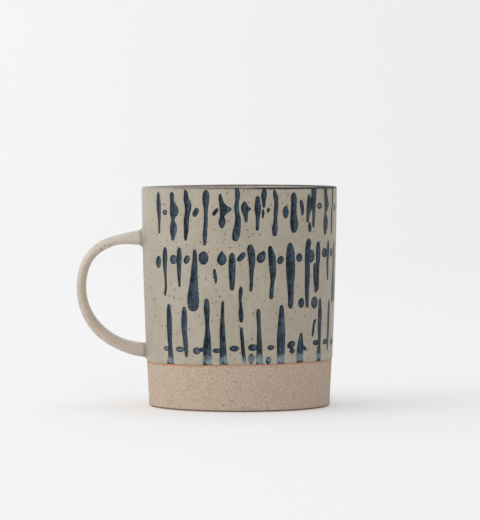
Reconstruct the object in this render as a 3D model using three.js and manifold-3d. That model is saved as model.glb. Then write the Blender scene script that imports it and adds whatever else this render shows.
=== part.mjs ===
// A straight stoneware mug with a raw clay foot, a handle pulled and stuck on by hand, and a coat of
// satin glaze that is dipped on to a line above the foot. Millimetres, +Z up. The origin is on the
// cup's axis at the middle of its flat foot, and the handle points along -X.

import * as THREE from 'three';
import { mergeVertices } from 'three/addons/utils/BufferGeometryUtils.js';
import Module from 'manifold-3d';

const wasm = await Module();
wasm.setup();

// ---------- driving dimensions ----------
const HEIGHT = 98; // top of the lip above the foot
const RIM_RADIUS = 43.3; // outside, at the lip
const BELLY_RADIUS = 42.6; // what the wall's curve leans towards half way up
const BELLY_HEIGHT = 45;
const FOOT_RADIUS = 40.2; // outside, just above the foot's bevel
const FOOT_BEVEL = 1.3; // height of the worn bevel round the foot
const FOOT_FLAT_RADIUS = 39.1; // the flat that stands on the table
const FLOOR = 6; // thickness of the clay under the drink
const WALL_AT_LIP = 3.2; // clay and both coats, just below the round of the lip
const WALL_AT_FLOOR = 4.2;
const INSIDE_CORNER = 7; // radius between the floor and the wall
const GLAZE_LINE = 20.5; // height at which the dipped coat ends
const COAT = 0.5; // thickness of the fired glaze
const GAP = 0.1; // kept between a coat and the clay that it covers
const CUT_GAP = 0.3; // kept round a piece that another piece is cut to

const HANDLE_REACH = 70.3; // centre line at its furthest from the cup's axis
const HANDLE_MIDDLE = 52.2; // height at which it is furthest out
const HANDLE_TOP = 75.1; // height of the centre line at the wall, above
const HANDLE_BOTTOM = 24.7; // and below
const HANDLE_ROOT = 40; // both ends start inside the wall, which cuts them
const HANDLE_HALF_WIDTH = 6.6; // along Y, at the middle of the loop
const JOINT_FLARE = 1.9; // how far the smoothed slip swells beyond the handle at the wall
const JOINT_LENGTH = 7; // how far it runs out along the handle

const AROUND = 60; // facets round the cup
const STRAP_SIDES = 16; // facets round the handle
const STRAP_STEPS = 26; // steps along the handle

// ---------- finishes ----------
const finish = (color, roughness) => new THREE.MeshStandardMaterial({ color, roughness, metalness: 0 });
const RAW_CLAY = 0xae9c8b;
const OATMEAL_GLAZE = 0xa39b8d;
const PALE_GLAZE = 0xb6ad9e;
const BROWN_BREAK = 0x77604f;

// ---------- from geometry to solids and back ----------

// A closed solid from a three.js geometry: vertices in the same place become one, and the
// triangles that had no area, such as those at a pole, are left out.
function solidOf(geometry) {
  const bare = geometry.clone();
  bare.deleteAttribute('normal');
  bare.deleteAttribute('uv');
  const merged = mergeVertices(bare, 1e-4);
  const index = merged.index.array;
  const kept = [];
  for (let i = 0; i < index.length; i += 3) {
    const [a, b, c] = index.slice(i, i + 3);
    if (a !== b && b !== c && c !== a) kept.push(a, b, c);
  }
  const vertProperties = Float32Array.from(merged.attributes.position.array);
  const triVerts = Uint32Array.from(kept);
  return new wasm.Manifold(new wasm.Mesh({ numProp: 3, vertProperties, triVerts }));
}

// A named mesh from a solid.
function piece(name, solid, material) {
  const { vertProperties, triVerts } = solid.getMesh();
  const geometry = new THREE.BufferGeometry();
  geometry.setAttribute('position', new THREE.BufferAttribute(vertProperties, 3));
  geometry.setIndex(new THREE.BufferAttribute(triVerts, 1));
  geometry.computeVertexNormals();
  const mesh = new THREE.Mesh(geometry, material);
  mesh.name = name;
  return mesh;
}

// A solid of revolution about Z from [radius, height] points. The profile runs up the outside and
// back down the inside, and either closes on itself or starts and ends on the axis.
function turned(profile) {
  const points = profile.map(([radius, height]) => new THREE.Vector2(radius, height));
  return solidOf(new THREE.LatheGeometry(points, AROUND).rotateX(Math.PI / 2));
}

// ---------- the cup's profile ----------
const wallLine = new THREE.QuadraticBezierCurve(
  new THREE.Vector2(FOOT_RADIUS, FOOT_BEVEL),
  new THREE.Vector2(BELLY_RADIUS, BELLY_HEIGHT),
  new THREE.Vector2(RIM_RADIUS, HEIGHT),
);

// The outside of the finished wall at a height. The curve's height is a quadratic in its parameter.
function outerRadius(height) {
  const a = FOOT_BEVEL - 2 * BELLY_HEIGHT + HEIGHT;
  const b = 2 * (BELLY_HEIGHT - FOOT_BEVEL);
  const c = FOOT_BEVEL - height;
  const t = (-b + Math.sqrt(b * b - 4 * a * c)) / (2 * a);
  return wallLine.getPoint(THREE.MathUtils.clamp(t, 0, 1)).x;
}

// The inside of the finished wall at a height: the wall thins evenly towards the lip.
function innerRadius(height) {
  const share = (height - FLOOR) / (HEIGHT - FLOOR);
  return outerRadius(height) - THREE.MathUtils.lerp(WALL_AT_FLOOR, WALL_AT_LIP, share);
}

// Evenly spaced heights from one to another, ends included.
function heights(from, to, count) {
  return Array.from({ length: count }, (_, i) => from + ((to - from) * i) / (count - 1));
}

// The line down the inside from the shoulder of the lip to the middle of the floor, set back into
// the clay by an offset.
function insideLine(top, offset) {
  const cornerTop = FLOOR + INSIDE_CORNER;
  const wall = heights(top, cornerTop, 4).map((z) => [innerRadius(z) + offset, z]);
  const turn = INSIDE_CORNER + offset;
  const centre = innerRadius(cornerTop) - INSIDE_CORNER;
  const corner = [30, 60, 90].map((degrees) => {
    const angle = THREE.MathUtils.degToRad(degrees);
    return [centre + turn * Math.cos(angle), cornerTop - turn * Math.sin(angle)];
  });
  return [...wall, ...corner, [0, FLOOR - offset]];
}

// The round of the lip from the outside over the top to the inside, as a half ellipse whose top is
// sunk below the lip by a depth. Its shoulders are at the same height as the coats' upper ends.
const lipShoulder = HEIGHT - WALL_AT_LIP / 2;
function lipRound(depth) {
  const outside = outerRadius(lipShoulder) - depth;
  const inside = innerRadius(lipShoulder) + depth;
  const rise = HEIGHT - depth - lipShoulder;
  return heights(0, 180, 7).map((degrees) => {
    const angle = THREE.MathUtils.degToRad(degrees);
    const radius = (outside + inside) / 2 + ((outside - inside) / 2) * Math.cos(angle);
    return [radius, lipShoulder + rise * Math.sin(angle)];
  });
}

const BURIED = COAT + GAP; // how deep the clay's own surface lies under a coat

// ---------- the cup ----------
function clayCup() {
  const foot = [[0, 0], [FOOT_FLAT_RADIUS, 0], [FOOT_RADIUS, FOOT_BEVEL]];
  const band = heights(GLAZE_LINE / 2, GLAZE_LINE - GAP, 2).map((z) => [outerRadius(z) - GAP, z]);
  const wall = heights(GLAZE_LINE - GAP, lipShoulder, 5).map((z) => [outerRadius(z) - BURIED, z]);
  const lip = lipRound(BURIED).slice(1, -1);
  return turned([...foot, ...band, ...wall, ...lip, ...insideLine(lipShoulder, BURIED)]);
}

function outerCoat() {
  const outside = heights(GLAZE_LINE, lipShoulder - GAP, 5).map((z) => [outerRadius(z), z]);
  const inside = outside.map(([radius, z]) => [radius - COAT, z]).reverse();
  return turned([...outside, ...inside, outside[0]]);
}

function linerCoat() {
  const clay = insideLine(lipShoulder - GAP, COAT);
  const drink = insideLine(lipShoulder - GAP, 0);
  return turned([...clay.reverse(), ...drink]);
}

function lipCoat() {
  const under = lipRound(COAT).reverse();
  const over = lipRound(0);
  return turned([...over, ...under, over[0]]);
}

// Everything inside the clay wall's outer surface, grown by a gap: it trims what is stuck to the
// wall. The raw band under the glaze line stands out further than the clay that a coat covers.
function wallCutter(gap) {
  const bottom = GLAZE_LINE / 2;
  const top = HEIGHT - 5;
  const band = heights(bottom, GLAZE_LINE + gap, 3).map((z) => [outerRadius(z) - GAP + gap, z]);
  const side = heights(GLAZE_LINE + gap, top, 8).map((z) => [outerRadius(z) - BURIED + gap, z]);
  return turned([[0, bottom], ...band, ...side, [0, top]]);
}

// ---------- the handle ----------
const handleLine = new THREE.CurvePath();
handleLine.add(new THREE.CubicBezierCurve(
  new THREE.Vector2(-HANDLE_ROOT, HANDLE_TOP),
  new THREE.Vector2(-46, 74),
  new THREE.Vector2(-HANDLE_REACH, 77.5),
  new THREE.Vector2(-HANDLE_REACH, HANDLE_MIDDLE),
));
handleLine.add(new THREE.CubicBezierCurve(
  new THREE.Vector2(-HANDLE_REACH, HANDLE_MIDDLE),
  new THREE.Vector2(-HANDLE_REACH, 37.5),
  new THREE.Vector2(-57.8, 25.3),
  new THREE.Vector2(-HANDLE_ROOT, HANDLE_BOTTOM),
));
const HANDLE_LENGTH = handleLine.getLength();

// Half the finished strap's thickness along its length, as [share of the length, millimetres]: it is
// pulled thin above and stays thicker towards the lower root.
const THICKNESS = [[0, 2.5], [0.18, 1.85], [0.5, 2.0], [0.85, 2.6], [1, 2.9]];
function halfThickness(share) {
  const next = THICKNESS.findIndex(([at]) => at >= share);
  const [toShare, to] = THICKNESS[Math.max(next, 1)];
  const [fromShare, from] = THICKNESS[Math.max(next, 1) - 1];
  return THREE.MathUtils.mapLinear(share, fromShare, toShare, from, to);
}

// Half its finished width: a little wider at both roots than in the middle of the loop.
function halfWidth(share) {
  return HANDLE_HALF_WIDTH + 1.2 * (2 * share - 1) ** 2;
}

// The strap between two shares of its length, swollen beyond its finished size by an allowance that
// may change along it. It is a closed upright cylinder whose height runs along the handle's line, and whose circle becomes
// an oval with its thickness in the plane of the loop and its width along Y.
function strap(fromShare, toShare, steps, swelling) {
  const geometry = new THREE.CylinderGeometry(1, 1, 1, STRAP_SIDES, steps);
  const position = geometry.attributes.position;
  for (let i = 0; i < position.count; i += 1) {
    const share = THREE.MathUtils.lerp(fromShare, toShare, position.getY(i) + 0.5);
    const middle = handleLine.getPointAt(share);
    const along = handleLine.getTangentAt(share);
    const thickness = position.getX(i) * (halfThickness(share) + swelling(share));
    const width = position.getZ(i) * (halfWidth(share) + swelling(share));
    position.setXYZ(i, middle.x - along.y * thickness, width, middle.y + along.x * thickness);
  }
  return solidOf(geometry);
}

const evenly = (amount) => () => amount;
const jointShare = (JOINT_LENGTH + RIM_RADIUS - HANDLE_ROOT) / HANDLE_LENGTH;

// The slip joint fades from its full flare at the wall to nothing along the handle.
function jointSwelling(share) {
  const fromEnd = Math.min(share, 1 - share);
  const fade = 1 - Math.min(fromEnd / jointShare, 1);
  return JOINT_FLARE * fade * fade;
}

const wall = wallCutter(CUT_GAP);
const clayStrap = strap(0, 1, STRAP_STEPS, evenly(-BURIED));
const strapRoom = strap(0, 1, STRAP_STEPS, evenly(-COAT));
const upperFlare = strap(0, jointShare, 6, jointSwelling);
const lowerFlare = strap(1 - jointShare, 1, 6, jointSwelling);
const flareRoom = [
  strap(0, jointShare * 1.03, 6, (share) => jointSwelling(share) + CUT_GAP),
  strap(1 - jointShare * 1.03, 1, 6, (share) => jointSwelling(share) + CUT_GAP),
];

function handleCoat() {
  const coated = strap(jointShare, 1 - jointShare, STRAP_STEPS - 6, evenly(0));
  return flareRoom.reduce((coat, room) => coat.subtract(room), coated.subtract(strapRoom));
}

function slipJoint(flare) {
  return flare.subtract(strapRoom).subtract(wall);
}

function coatRoundHandle() {
  return flareRoom.reduce((coat, room) => coat.subtract(room), outerCoat());
}

// ---------- the mug ----------
const mug = new THREE.Group();
mug.add(
  piece('stoneware_cup', clayCup(), finish(RAW_CLAY, 0.9)),
  piece('handle', clayStrap.subtract(wall), finish(RAW_CLAY, 0.9)),
  piece('upper_handle_joint', slipJoint(upperFlare), finish(PALE_GLAZE, 0.6)),
  piece('lower_handle_joint', slipJoint(lowerFlare), finish(PALE_GLAZE, 0.6)),
  piece('outer_glaze', coatRoundHandle(), finish(OATMEAL_GLAZE, 0.5)),
  piece('liner_glaze', linerCoat(), finish(PALE_GLAZE, 0.4)),
  piece('lip_glaze', lipCoat(), finish(BROWN_BREAK, 0.5)),
  piece('handle_glaze', handleCoat(), finish(PALE_GLAZE, 0.5)),
);

export default mug;
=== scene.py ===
"""A stoneware mug with a raw clay foot, a satin oatmeal glaze and three rows of carved strokes filled
with indigo glaze. The file is laid out as a Blender add-on and is run as a script. It builds every
piece as a surface worked out with numpy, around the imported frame.

Lengths in the shape functions are millimetres, and make_mesh turns them into metres. Angles round the
wall are degrees from the side that faces the viewer, growing towards +X, so the handle is at -90."""

import bpy
import numpy as np
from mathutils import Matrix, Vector


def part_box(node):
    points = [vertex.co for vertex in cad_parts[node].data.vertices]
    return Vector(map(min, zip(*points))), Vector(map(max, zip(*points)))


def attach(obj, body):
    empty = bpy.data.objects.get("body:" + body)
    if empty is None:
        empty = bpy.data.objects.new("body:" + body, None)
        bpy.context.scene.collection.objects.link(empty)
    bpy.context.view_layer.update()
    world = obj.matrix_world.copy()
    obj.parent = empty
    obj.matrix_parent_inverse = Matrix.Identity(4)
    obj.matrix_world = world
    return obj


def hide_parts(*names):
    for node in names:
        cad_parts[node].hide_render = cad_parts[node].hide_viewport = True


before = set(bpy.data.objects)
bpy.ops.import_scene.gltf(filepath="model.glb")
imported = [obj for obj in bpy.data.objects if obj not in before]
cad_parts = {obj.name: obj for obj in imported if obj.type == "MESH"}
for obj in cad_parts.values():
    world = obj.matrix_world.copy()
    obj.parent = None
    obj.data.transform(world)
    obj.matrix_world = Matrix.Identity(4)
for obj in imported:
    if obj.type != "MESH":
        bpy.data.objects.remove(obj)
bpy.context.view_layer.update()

bl_info = {
    "name": "Carved stoneware mug",
    "version": (1, 0, 0),
    "blender": (4, 5, 0),
    "location": "3D View > Sidebar > Mug",
    "description": "Builds a hand-carved stoneware mug and the table it stands on",
    "category": "Add Mesh",
}

MM = 0.001

# ---------------------------------------------------------------------------
# Sizes that come from the frame, in metres
# ---------------------------------------------------------------------------
LIP_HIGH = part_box("lip_glaze")[1]
COAT_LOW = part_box("outer_glaze")[0]
HANDLE_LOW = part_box("handle_glaze")[0]
LINER_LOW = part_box("liner_glaze")[0]

# ---------------------------------------------------------------------------
# The carved marks of the three rows
# ---------------------------------------------------------------------------
MILLIMETRES_PER_DEGREE = 0.745  # along the wall at its mean radius
BLEED = 0.22  # how far the glaze creeps sideways past the tool's cut
DOT_BLEED = 1.5 * BLEED  # the same for a small dot, both sides together
END_BLEED = 0.12  # how far it creeps past a mark's ends
TOP_BLUNT = 0.75  # a stroke's upper end is rounded over this share of its width there


def stroke(angle, top, bottom, widths, sway=(0,), blunt=0.55):
    """A drawn-out mark: its angle round the wall, the heights of its ends, its widths at the middles
    of equal steps from top to bottom, and how far its middle sways to the right at such steps. Its
    lower end is rounded over a blunt share of its width there."""
    widths = tuple(width + 2 * BLEED for width in widths)
    return {
        "angle": angle, "top": top + END_BLEED, "bottom": bottom - END_BLEED, "widths": widths,
        "sway": sway, "ends": (TOP_BLUNT * widths[0], blunt * widths[-1]), "hollow": 0.0,
    }


def dot(angle, height, wide, tall, lean=0.0, hollow=0.35):
    """An oval mark round a height, whose top leans to the right, and whose middle is paler by hollow."""
    half_tall = tall / 2 + END_BLEED
    return {
        "angle": angle, "top": height + half_tall, "bottom": height - half_tall,
        "widths": (wide + DOT_BLEED,), "sway": (lean, 0, -lean), "ends": (half_tall, half_tall),
        "hollow": hollow,
    }


TOP_ROW = (
    stroke(-55, 95.9, 77.3, (2.2, 2.9, 2.8, 2.2, 1.5, 1.3), (0, 0.1, 0.2, 0.4, 0.4, 0.4)),
    dot(-48.8, 86.8, 3.0, 2.4, hollow=1),
    stroke(-42.5, 96, 74.3, (2.4, 2, 4.2, 4.9, 1.7, 3.7, 3.7, 2), (-0.2, 0, 0.8, 1, 0.2, 0.5, 0.4, 0.1)),
    stroke(-32.5, 96.8, 74.4, (1.8, 2.6, 3.1, 2.5, 2.5, 2.4, 2.2, 1.4),
           (0, 0.3, 1.1, 0.9, 0.2, 0.1, 0, -0.3)),
    dot(-26, 87, 2.7, 3.8, lean=0.45),
    stroke(-19.6, 96.9, 72.6, (2.7, 2.7, 1.9, 1.4, 1.6, 1.7, 1.9, 1.4),
           (0.1, 0, 0, 0, -0.1, -0.3, -0.5, -0.6)),
    dot(-13.9, 87.2, 2, 3.3, lean=0.65),
    stroke(-10, 95.3, 80.2, (0.8, 1.5, 1.9, 2.9, 5.2, 3.5, 1.5, 2.4, 2.8, 1.8),
           (-0.7, -0.6, -0.2, 0.5, 1.7, 0.9, 0.1, 0.1, 0, 0)),
    stroke(-1.2, 99, 74.4, (1.3, 2, 1.3, 1.9, 1.7, 2.2, 2.5, 3.1, 2.8),
           (-0.1, 0.2, 0, -0.3, 0, 0.4, 0.1, -0.3, -0.7)),
    stroke(3.5, 91.8, 82.7, (1.9, 2.8, 3, 2, 1.4, 0.9), (-0.3, -0.3, -0.1, 0, 0.3, 0.3)),
    dot(5.3, 88.6, 2.2, 1.4, hollow=0),
    stroke(10.6, 94.2, 79.1, (1.8, 2.5, 2.5, 1.7, 1.3, 1.2), (0, 0.1, 0.1, 0.1, 0, -0.1)),
    stroke(14.2, 97.3, 89.1, (2.2, 2.3, 1.5, 1.2), (0.2, 0.1, 0, 0.1)),
    stroke(13.8, 88.4, 84.4, (0.9, 0.9, 0.6)),
    dot(16.9, 88, 1.1, 2.4, hollow=0),
    stroke(21.4, 97, 76.6, (1.3, 2.1, 1.5, 1.9, 1.8, 1.4, 1.8, 2.5, 2),
           (-0.5, 0.1, 0.3, 0.3, 0.1, 0, -0.1, -0.3, -0.3)),
    dot(27.9, 87.1, 2.8, 5.5),
    stroke(33.4, 95.7, 78, (2.7, 2.8, 2.7, 3.2, 4, 3.2), (-0.2, 0, -0.2, -0.1, 0.2, 0.2)),
    stroke(39.3, 92.4, 85.6, (1.5, 1.9, 1.7, 1), (-0.5, -0.1, 0.2, 0.3)),
    stroke(44.3, 94.6, 82.3, (1.9, 2.8, 3, 1.9, 1.1), (0.3, 0.6, 0.5, -0.1, -0.4)),
    stroke(48.9, 99, 80.1, (3.4, 3.1, 2.8, 2, 1.6, 1.2), (0.1, 0, -0.2, 0, 0, -0.1)),
    stroke(45.7, 82.6, 78.1, (0.9, 2, 1.5), (-0.3, 0, 0.1)),
    dot(54.4, 89.6, 3.5, 2.6, hollow=1),
    stroke(61.2, 99, 76.6, (2, 2.4, 3.5, 3.9, 1.3, 3.8, 4, 2.3),
           (-0.1, 0, 0.7, 1.2, -0.1, 0.3, 0.3, 0.1)),
    stroke(71.8, 99, 89, (1.6, 1.8, 1.5)),
    stroke(70.7, 88.9, 76.9, (1.6, 1.9, 1.9, 1.6)),
    dot(76.3, 88.4, 3, 3),
)

MIDDLE_ROW = (
    dot(-56.1, 64.7, 4.2, 5.4, lean=0.2),
    stroke(-49.6, 71.4, 49.9, (2.4, 3, 2.8, 2.3, 1.5, 1.3, 1.4, 1.5),
           (0.2, 0.1, 0, 0, 0.1, 0.3, 0.3, -0.3)),
    dot(-42.3, 66, 4.1, 4.1, hollow=0.65),
    stroke(-38, 71.4, 54, (2.3, 2.7, 2.4, 2, 1.6, 1.1), (0.3, 0.2, 0, 0, 0, 0.1)),
    dot(-32.3, 66.2, 3.3, 3.7, lean=0.3, hollow=0.65),
    stroke(-27.8, 70.8, 43.6, (1.8, 2.2, 2.8, 3.2, 3.8, 4.5, 5.4, 5.9, 5.2),
           (0.7, 0.7, 0.5, 0.3, 0.1, -0.1, -0.4, -0.4, -0.4), blunt=0.42),
    dot(-21.3, 67, 4.6, 5.9),
    stroke(-14.2, 62.4, 55.9, (1.1, 1.3, 1.2, 0.8), (-0.3, -0.1, 0.2, 0.3)),
    stroke(-10.2, 70.3, 63.9, (1, 2.7, 3.9, 4.1, 3.2)),
    stroke(-4.2, 69.4, 53, (2.4, 2.8, 2.8, 2.6, 2.3, 1.9)),
    dot(1.2, 67.6, 3, 4.2, lean=0.8),
    stroke(7, 73, 52.6, (2.8, 3, 2.7, 2.1, 1.5, 1.3, 1.1), (-0.4, 0, 0.3, 0.2, 0.1, 0.1, -0.1)),
    dot(12.8, 67.3, 3.9, 4.7, lean=0.2),
    dot(14.3, 69.4, 1.3, 1.6, hollow=0),
    stroke(19.4, 72.4, 49.2, (1.9, 3, 3, 2.8, 2.4, 1.6, 1.7, 1.8),
           (-0.8, -0.1, 0.1, 0.4, 0.5, 0.3, 0, -0.1)),
    dot(24.8, 66.1, 3.1, 3.5, lean=0.2),
    stroke(31.6, 73.7, 44.9, (2.8, 4, 4.4, 4.5, 4.2, 3.4, 2.9, 2.6, 2.4),
           (-0.4, -0.2, -0.1, 0, 0.1, 0.1, 0.2, 0.3, 0.3)),
    dot(37.7, 67, 3.3, 3.7),
    stroke(44.3, 75.2, 45, (3.3, 2.8, 2.9, 2.8, 2.8, 2.7, 2.5, 2.2, 1.7),
           (0.4, -0.1, -0.2, -0.1, 0, 0, 0, 0.1, 0.3)),
    dot(47.3, 67.5, 4.3, 5.4),
    stroke(51, 64.4, 51.3, (1.8, 2, 2.2, 1.7), (-0.2, -0.1, 0.4, 0.8)),
    stroke(53.7, 73.9, 52.2, (2.6, 3.1, 2.8, 2, 1.8, 1.9, 1.6), (0, 0, 0, 0, 0.1, 0.1, 0.2)),
    dot(61, 68.7, 4.7, 4.1),
    stroke(65.6, 73.9, 56.5, (2.4, 2.5, 2.3, 2.1, 1.8, 1.4), (0.1, 0, -0.2, -0.2, 0.1, 0.3)),
    dot(71, 68.6, 3.1, 3.8),
    stroke(76.2, 73, 46.2, (2.2, 2.3, 2.4, 2.6, 3.6, 4.6, 4.4)),
    stroke(0.8, 54.7, 39, (1.4, 1.6, 1.2, 1, 1.2, 1.9, 2.1, 1.6),
           (0.1, 0, -0.2, -0.1, 0.1, 0.1, 0.2, 0.3)),
    dot(39.9, 47.2, 3.4, 4.3),
    dot(51.3, 47.1, 4.8, 5.1),
)

FOOT_ROW = (
    stroke(-46.9, 46.7, 16, (2.5, 3.1, 3.3, 3.2, 3, 2.5, 3.4, 4.3, 4.4),
           (0, 0, 0, 0, 0, 0.2, 0.3, 0.1, 0)),
    dot(-50.2, 26.9, 4, 2.2, hollow=1),
    stroke(-34.8, 45.7, 23.3, (2.4, 2.9, 3.1, 2.8, 2.5, 2.5, 2.2, 1.6),
           (0.1, 0, -0.1, -0.1, 0.1, 0.4, 0.6, 0.7)),
    dot(-38.7, 26.9, 4.9, 2.6, hollow=1),
    stroke(-19.6, 49.5, 16, (2.2, 2.8, 2.2, 1.8, 2.4, 3.2, 3.8, 3.9, 4.2, 4.2),
           (0, 0, 0.1, 0.2, 0.3, 0.1, 0, 0, 0, 0)),
    dot(-26.5, 26.5, 3.9, 3.1, hollow=0.7),
    dot(-23.2, 27.1, 2.6, 1.7, hollow=0),
    stroke(-9.8, 48.5, 16, (1.2, 1.4, 1.7, 2.2, 2.5, 2.5, 2.9, 3.1, 3.2, 3.2),
           (0, -0.1, -0.2, -0.2, -0.2, -0.1, 0, 0.1, 0.2, 0.2)),
    dot(-13.7, 26.8, 3.6, 2.1, hollow=0.6),
    dot(-2.9, 27.8, 4.4, 2.6, hollow=0.5),
    stroke(2.2, 37.2, 21.2, (1.3, 1.5, 1.5, 1.6, 1.4), (-0.7, -0.4, -0.1, 0.2, 0.7)),
    dot(8.1, 28.2, 4.2, 3, hollow=0.5),
    stroke(12, 45, 16, (1.8, 1.6, 1.6, 2, 2.4, 2.6, 2.9, 2.9), (-0.5, -0.3, -0.1, 0, 0.1, 0.2, 0.3, 0.3)),
    dot(7.2, 23.4, 2.9, 4.4),
    dot(17.9, 22.6, 2.7, 3.3),
    dot(19.3, 28.1, 3.5, 2.3),
    stroke(25.9, 46.6, 16, (2, 2.7, 3.3, 3.9, 3.9, 3.7, 3.4, 2.6)),
    dot(33, 29.1, 4.2, 3.3, lean=0.4),
    dot(33.8, 26.4, 2.9, 2.3, hollow=0),
    stroke(39.9, 34.2, 17, (1.7, 3, 3.6, 3.9, 3.5, 3), (0.3, 0.1, 0, -0.2, 0, -0.3)),
    dot(43.3, 27.4, 2.4, 2.2, lean=-0.6, hollow=0),
    stroke(50.8, 39.7, 32.2, (2, 1.5, 1.4, 1.3, 1), (0.9, 0.4, 0.1, -0.1, -0.4)),
    stroke(57.2, 49, 16, (1.9, 2.9, 3, 2.8, 2.6, 2.3, 2.3, 3.7, 3.2, 3),
           (-0.1, 0, 0.1, 0, 0.1, 0.4, 0.2, 0, 0, 0)),
    dot(53.7, 29.4, 4.4, 2.3),
    stroke(69.4, 48, 25.7, (2.2, 2.7, 2.6, 2.5, 2.3, 1.8)),
    dot(65.2, 29.4, 5, 2.5),
    dot(77.5, 28.8, 4.5, 3),
)

# ---------------------------------------------------------------------------
# Their repeats round the back
# ---------------------------------------------------------------------------
ROW_START = -56  # angle at which each row begins
BACK_START, BACK_END = 84, 238  # angles between which the maker repeats the marks
ROW_GAP = 8  # degrees between the mirrored row and the one that begins again
LIFT_SPREAD, REACH_SPREAD = 0.5, 0.7  # how far a repeated mark's height and length stray
WIDTH_SHARES = (0.88, 1.14)  # and its width
LONG_MARK = 8  # only marks longer than this stray in length
OVER_THE_LIP = 98  # a mark that begins above this height runs over the lip
TO_THE_LINE = 20  # a mark that ends below this height runs down to the glaze line


def with_back(row, rng):
    """The row and its repeat round the back. The hand that carved the front goes on in mirrored order
    with small differences in height and width, and then begins the row again until the plain clay
    beside the handle. Marks that run over the lip or down to the glaze line keep that end."""
    row_end = max(mark["angle"] for mark in row)
    mirrored = [dict(mark, angle=BACK_START + row_end - mark["angle"],
                     sway=tuple(-shift for shift in mark["sway"])) for mark in row]
    again_start = BACK_START + row_end - ROW_START + ROW_GAP
    again = [dict(mark, angle=again_start + mark["angle"] - ROW_START) for mark in row]
    back = []
    for mark in mirrored + again:
        lift = rng.normal(0, LIFT_SPREAD)
        reach = rng.normal(0, REACH_SPREAD) if mark["top"] - mark["bottom"] > LONG_MARK else 0
        share = rng.uniform(*WIDTH_SHARES)
        if mark["angle"] > BACK_END:
            continue
        back.append(dict(
            mark,
            top=mark["top"] + (0 if mark["top"] > OVER_THE_LIP else lift + reach),
            bottom=mark["bottom"] + (0 if mark["bottom"] < TO_THE_LINE else lift),
            widths=tuple(width * share for width in mark["widths"]),
        ))
    return list(row) + back


def all_marks():
    """The three rows with their repeats round the back. One seed gives the same mug each time."""
    rng = np.random.default_rng(7)
    return [with_back(row, rng) for row in (TOP_ROW, MIDDLE_ROW, FOOT_ROW)]


# ---------------------------------------------------------------------------
# User settings
# ---------------------------------------------------------------------------
def length(name, description, millimetres):
    return bpy.props.FloatProperty(
        name=name, description=description, default=millimetres * MM, precision=5,
        unit="LENGTH", subtype="DISTANCE",
    )


def colour(name, description, red, green, blue):
    return bpy.props.FloatVectorProperty(
        name=name, description=description, default=(red, green, blue, 1.0), size=4,
        min=0.0, max=1.0, subtype="COLOR",
    )


class MugShape(bpy.types.PropertyGroup):
    """Sizes of the mug."""

    height: length("Height", "Top of the lip above the table", LIP_HIGH[2] / MM)
    rim_radius: length("Rim radius", "Outside radius at the lip", LIP_HIGH[0] / MM + 0.15)
    belly_radius: length("Belly radius", "What the wall's curve leans towards half way up", 42.75)
    belly_height: length("Belly height", "Height of that leaning", 45)
    foot_radius: length("Foot radius", "Outside radius just above the foot's bevel", 40.35)
    foot_bevel: length("Foot bevel", "Height of the worn bevel round the foot", 2.0)
    foot_flat: length("Foot flat", "Radius of the flat that stands on the table", 39.2)
    glaze_line: length("Glaze line", "Height at which the dipped coat ends", COAT_LOW[2] / MM)
    line_tilt: length("Line tilt", "How far the hand-dipped line rises and falls round the cup", 0.6)
    coat: length("Coat", "How far the fired coat stands out from the raw clay", 0.2)
    lip_thickness: length("Lip thickness", "Wall at the lip", 3.2)
    lip_rise: length("Lip rise", "How far the lip's rounded top rises above its shoulder", 1.15)
    floor_thickness: length("Floor wall", "Wall just above the floor", 4.2)
    floor: length("Floor", "Height of the glazed floor inside", LINER_LOW[2] / MM + 0.5)
    inside_corner: length("Inside corner", "Radius between floor and wall", 7)
    carve_depth: length("Carving depth", "How deep the tool cut into the wall", 0.55)
    fill_level: length("Fill level", "How far the indigo glaze lies below the wall at its edges", 0.12)
    handle_reach: length("Handle reach", "Furthest the handle's middle line stands from the axis",
                         -HANDLE_LOW[0] / MM - 2.0)
    handle_width: length("Handle width", "Width of the strap at the middle of the loop", 13.4)
    fillet: length("Joint fillet", "Radius of the slip smoothed round the handle's roots", 2.2)


class MugColours(bpy.types.PropertyGroup):
    """Colours of the clay and the glazes."""

    oatmeal: colour("Oatmeal glaze", "Main colour of the satin glaze", 0.395, 0.35, 0.28)
    oatmeal_pale: colour("Pale mottling", "Where the glaze lies thicker", 0.42, 0.375, 0.3)
    iron: colour("Iron speckle", "Spots of iron that come through the glaze", 0.11, 0.045, 0.027)
    break_brown: colour("Brown break", "Thin glaze over an edge", 0.085, 0.048, 0.034)
    clay: colour("Raw clay", "Fired clay without glaze", 0.53, 0.415, 0.325)
    clay_pale: colour("Pale grains", "Paler grains in the raw clay", 0.64, 0.54, 0.45)
    clay_dark: colour("Dark grains", "Darker grains in the raw clay", 0.27, 0.2, 0.155)
    # Painted shadow: a dark line low on the foot's bevel, where the contact shadow falls.
    crease: colour("Foot crease", "Shaded hollow above the edge that the mug stands on", 0.035, 0.03, 0.028)
    # Also used as a painted reflection: an orange line along the very bottom edge of the foot.
    flash_and_glint: colour("Flash line", "Orange line where glaze meets clay", 0.52, 0.235, 0.13)
    indigo_dark: colour("Dark indigo", "Indigo pooled against the edges", 0.005, 0.009, 0.014)
    indigo: colour("Indigo", "Indigo where it lies thin", 0.078, 0.125, 0.172)
    indigo_milky: colour("Milky indigo", "Where indigo runs thin just above the line", 0.24, 0.3, 0.32)
    liner: colour("Liner glaze", "Smooth glaze inside", 0.54, 0.5, 0.43)
    liner_thin: colour("Thin liner glaze", "Where the glaze inside is thinner", 0.48, 0.44, 0.37)
    handle_pale: colour("Handle glaze", "Paler coat on the handle", 0.515, 0.445, 0.37)
    handle_warm: colour("Warm handle glaze", "Where the clay warms a thin coat", 0.48, 0.405, 0.33)
    # Painted light: the colour that the handle's top and inner face are mixed towards, as if lit from above.
    handle_lit_face: colour("Crest of the handle", "Where its coat lies thickest", 0.62, 0.57, 0.5)


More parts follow.
